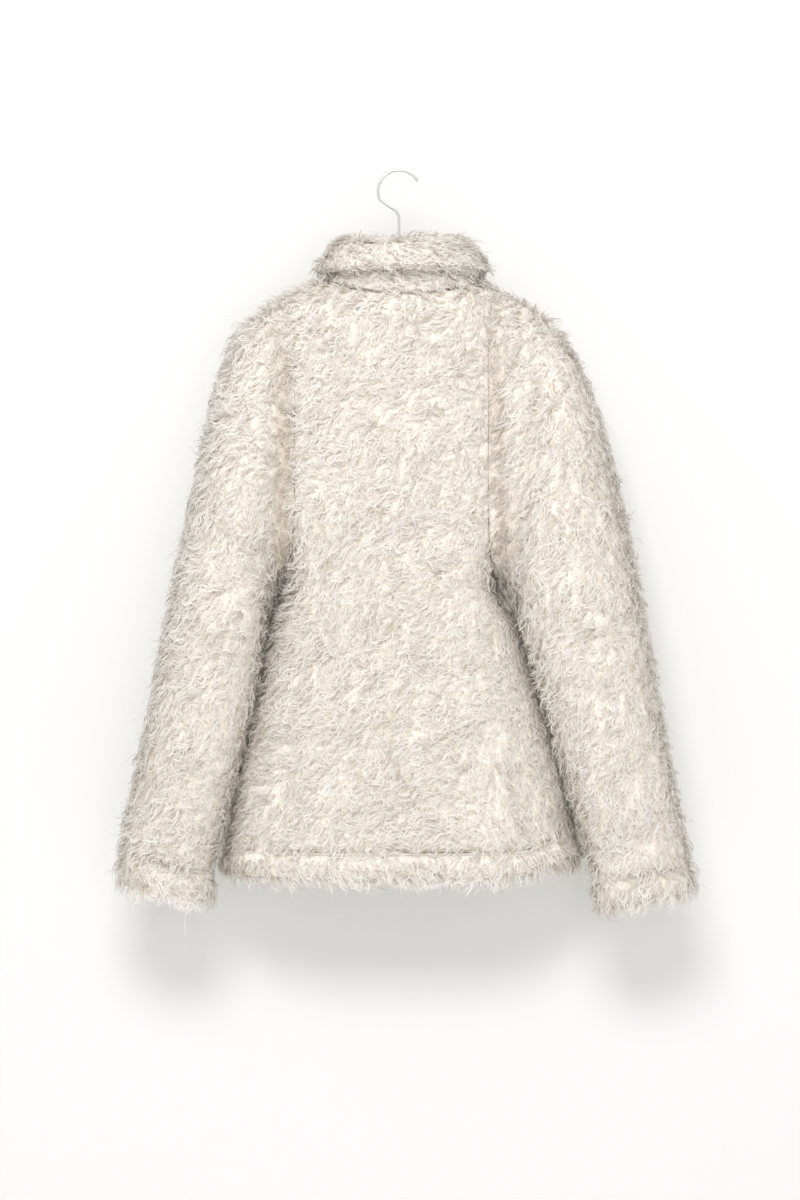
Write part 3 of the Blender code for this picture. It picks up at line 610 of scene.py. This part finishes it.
def streaks(nodes, links, along, tone):
    """Light and dark lines along a strand, like many fine hairs."""
    place = nodes.new("ShaderNodeCombineXYZ")
    links.new(mesh_value(nodes, "across"), place.inputs["X"])
    links.new(along, place.inputs["Y"])
    links.new(tone, place.inputs["Z"])
    stretch = nodes.new("ShaderNodeMapping")
    stretch.inputs["Scale"].default_value = (2.2, 0.7, 60.0)
    links.new(place.outputs["Vector"], stretch.inputs["Vector"])
    streak = nodes.new("ShaderNodeTexNoise")
    streak.inputs["Scale"].default_value = 1.6
    streak.inputs["Detail"].default_value = 2.0
    links.new(stretch.outputs["Vector"], streak.inputs["Vector"])
    stops = (0.30, (0.86, 0.83, 0.79)), (0.55, (1.0, 1.0, 1.0))
    return ramp(nodes, links, streak.outputs["Fac"], stops)


def pile_material():
    """Cream strands that let light through, with painted shade: darker at the root, at their lock's
    edge, where crowded and in deep folds.
    """
    material, nodes, links, shader = node_tree("pile")
    along, tone = mesh_value(nodes, "along"), mesh_value(nodes, "tone")
    # Painted shade: strands darker at the root, deep in the pile, and lighter towards the tip
    root_painted_shade_to_tip = ((0.0, (0.74, 0.69, 0.63)), (0.35, (0.90, 0.875, 0.84)),
                   (0.75, (0.95, 0.935, 0.915)), (1.0, (0.97, 0.96, 0.95)))
    mix = multiply(nodes, links, ramp(nodes, links, along, root_painted_shade_to_tip))
    mix.inputs["Factor"].default_value = 0.65
    links.new(streaks(nodes, links, along, tone), mix.inputs[7])
    # Tone to colour: each lock's random tone, and painted shade at lock edges and where strands are
    # crowded
    lock = ((0.0, (0.62, 0.57, 0.51)), (0.22, (0.86, 0.83, 0.79)),
            (0.5, (0.975, 0.965, 0.955)), (1.0, (1.0, 1.0, 1.0)))
    tint = multiply(nodes, links, mix.outputs[2])
    tint.inputs["Factor"].default_value = 0.9
    links.new(ramp(nodes, links, tone, lock), tint.inputs[7])
    cream = painted_fold_shade(nodes, links, tint.outputs[2])
    links.new(cream, shader.inputs["Base Color"])
    shader.inputs["Roughness"].default_value = 0.65
    shader.inputs["Specular IOR Level"].default_value = 0.25
    shader.inputs["Sheen Weight"].default_value = 0.15
    shader.inputs["Sheen Roughness"].default_value = 0.4
    glow = nodes.new("ShaderNodeBsdfTranslucent")
    links.new(cream, glow.inputs["Color"])
    thin = nodes.new("ShaderNodeMixShader")
    thin.inputs["Fac"].default_value = 0.35
    links.new(shader.outputs["BSDF"], thin.inputs[1])
    links.new(glow.outputs["BSDF"], thin.inputs[2])
    links.new(thin.outputs["Shader"], nodes["Material Output"].inputs["Surface"])
    return material


def backing_material():
    """Knitted backing with short matted pile, its random tone with painted shade: browner and darker
    in its hollows and deep folds.
    """
    material, nodes, links, shader = node_tree("backing")
    matted = object_noise(nodes, links, 260.0)
    matted.inputs["Detail"].default_value = 4.0
    matted.inputs["Distortion"].default_value = 1.2
    # Partly the pile's own random tone, partly painted shade: the noise that raises the bump darkens
    # its hollows
    stops = (0.30, (0.66, 0.60, 0.52)), (0.70, (0.88, 0.845, 0.79))
    colour = ramp(nodes, links, matted.outputs["Fac"], stops)
    links.new(painted_fold_shade(nodes, links, colour), shader.inputs["Base Color"])
    add_bump(nodes, links, shader, matted.outputs["Fac"], 0.6, 0.002)
    shader.inputs["Roughness"].default_value = 0.95
    return material


def wire_material():
    """Satin steel with fine marks along the drawn wire."""
    material, nodes, links, shader = node_tree("hook_steel")
    marks = object_noise(nodes, links, 900.0)
    stops = (0.35, (0.66, 0.66, 0.66)), (0.65, (0.78, 0.78, 0.77))
    links.new(ramp(nodes, links, marks.outputs["Fac"], stops), shader.inputs["Base Color"])
    add_bump(nodes, links, shader, marks.outputs["Fac"], 0.15, 0.0002)
    shader.inputs["Metallic"].default_value = 1.0
    shader.inputs["Roughness"].default_value = 0.38
    return material


def arms_material():
    """Plain pale moulded arms with a fine matt grain."""
    material, nodes, links, shader = node_tree("hanger_arms")
    grain = object_noise(nodes, links, 400.0)
    stops = (0.3, (0.66, 0.63, 0.58)), (0.7, (0.72, 0.69, 0.64))
    links.new(ramp(nodes, links, grain.outputs["Fac"], stops), shader.inputs["Base Color"])
    shader.inputs["Roughness"].default_value = 0.5
    return material


def plain_material(name, colour, one_sided=False):
    """Matt paint, clear from behind where it is one-sided."""
    material, nodes, links, shader = node_tree(name)
    mottle = object_noise(nodes, links, 1.5)
    stops = (0.3, tuple(c * 0.99 for c in colour)), (0.7, colour)
    links.new(ramp(nodes, links, mottle.outputs["Fac"], stops), shader.inputs["Base Color"])
    shader.inputs["Roughness"].default_value = 0.9
    shader.inputs["Specular IOR Level"].default_value = 0.1
    if one_sided:
        side = nodes.new("ShaderNodeNewGeometry")
        clear = nodes.new("ShaderNodeBsdfTransparent")
        choose = nodes.new("ShaderNodeMixShader")
        links.new(side.outputs["Backfacing"], choose.inputs["Fac"])
        links.new(shader.outputs["BSDF"], choose.inputs[1])
        links.new(clear.outputs["BSDF"], choose.inputs[2])
        links.new(choose.outputs["Shader"], nodes["Material Output"].inputs["Surface"])
    return material


def plate(name, corners, material):
    mesh = bpy.data.meshes.new(name)
    mesh.from_pydata(corners, [], [(0, 1, 2, 3)])
    mesh.materials.append(material)
    obj = new_object(name, mesh)
    return obj


def add_stage():
    wide, wall_y, floor_z, top_z = 4.0, 0.105, -1.60, 3.0
    wall = plate("wall", [(-wide, wall_y, floor_z), (wide, wall_y, floor_z), (wide, wall_y, top_z),
                          (-wide, wall_y, top_z)], plain_material("wall", (0.75, 0.745, 0.735), True))
    wall.visible_diffuse = False
    wall.visible_glossy = False
    wall.visible_transmission = False
    wall.visible_shadow = False
    plate("floor", [(-wide, -wide, floor_z), (wide, -wide, floor_z), (wide, wide, floor_z),
                    (-wide, wide, floor_z)], plain_material("floor", (0.90, 0.90, 0.89)))


def area_light(name, place, aim, size, power):
    data = bpy.data.lights.new(name, "AREA")
    data.shape = "RECTANGLE"
    data.size, data.size_y = size
    data.energy = power
    light = bpy.data.objects.new(name, data)
    light.location = place
    light.rotation_euler = (Vector(aim) - Vector(place)).to_track_quat("-Z", "Y").to_euler()
    bpy.context.scene.collection.objects.link(light)


def add_lights():
    middle = (0.0, 0.0, -0.45)
    area_light("key", (-0.25, -2.7, 1.20), middle, (1.2, 0.8), 57.5)
    area_light("front_fill", (0.3, -3.4, -0.6), middle, (1.6, 1.6), 20.0)
    area_light("rear_fill", (0.4, 2.6, 1.4), middle, (2.4, 2.0), 40.0)
    world = bpy.data.worlds.new("studio")
    bpy.context.scene.world = world
    world.use_nodes = True
    background = world.node_tree.nodes["Background"]
    background.inputs["Color"].default_value = (1.0, 0.993, 0.988, 1.0)
    background.inputs["Strength"].default_value = 0.71
    view = bpy.context.scene.view_settings
    view.view_transform = "Standard"
    view.look = "None"


def add_camera():
    data = bpy.data.cameras.new("camera")
    data.sensor_width = SENSOR
    data.lens = SENSOR * -CAMERA_AT[1] / (FRAME_HEIGHT * PIXEL)
    camera = bpy.data.objects.new("camera", data)
    camera.location = CAMERA_AT
    camera.rotation_euler = (math.pi / 2, 0.0, 0.0)
    bpy.context.scene.collection.objects.link(camera)
    bpy.context.scene.camera = camera


def add_cloths():
    backing, pile = backing_material(), pile_material()
    solids = walls_of(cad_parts.values())
    shells, sewn = {}, {}
    for cloth in CLOTHS:
        shells[cloth.node], sewn[cloth.node] = make_shell(cloth, solids)
    walls = walls_of(shells.values())
    rng = np.random.default_rng(SEED)
    for cloth in CLOTHS:
        shell = shells[cloth.node]
        shell.data.materials.append(backing)
        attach(shell, "root")
        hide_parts(cloth.node)
        fur = grow("pile_" + cloth.node, cloth, shell, sewn[cloth.node], walls, rng)
        fur.data.materials.append(pile)
        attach(fur, "root")


def dress_hanger():
    for node, material in (("hanger_hook", wire_material()), ("hanger_bar", arms_material())):
        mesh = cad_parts[node].data
        mesh.materials.clear()
        mesh.materials.append(material)


add_camera()
add_stage()
add_lights()
add_cloths()
dress_hanger()
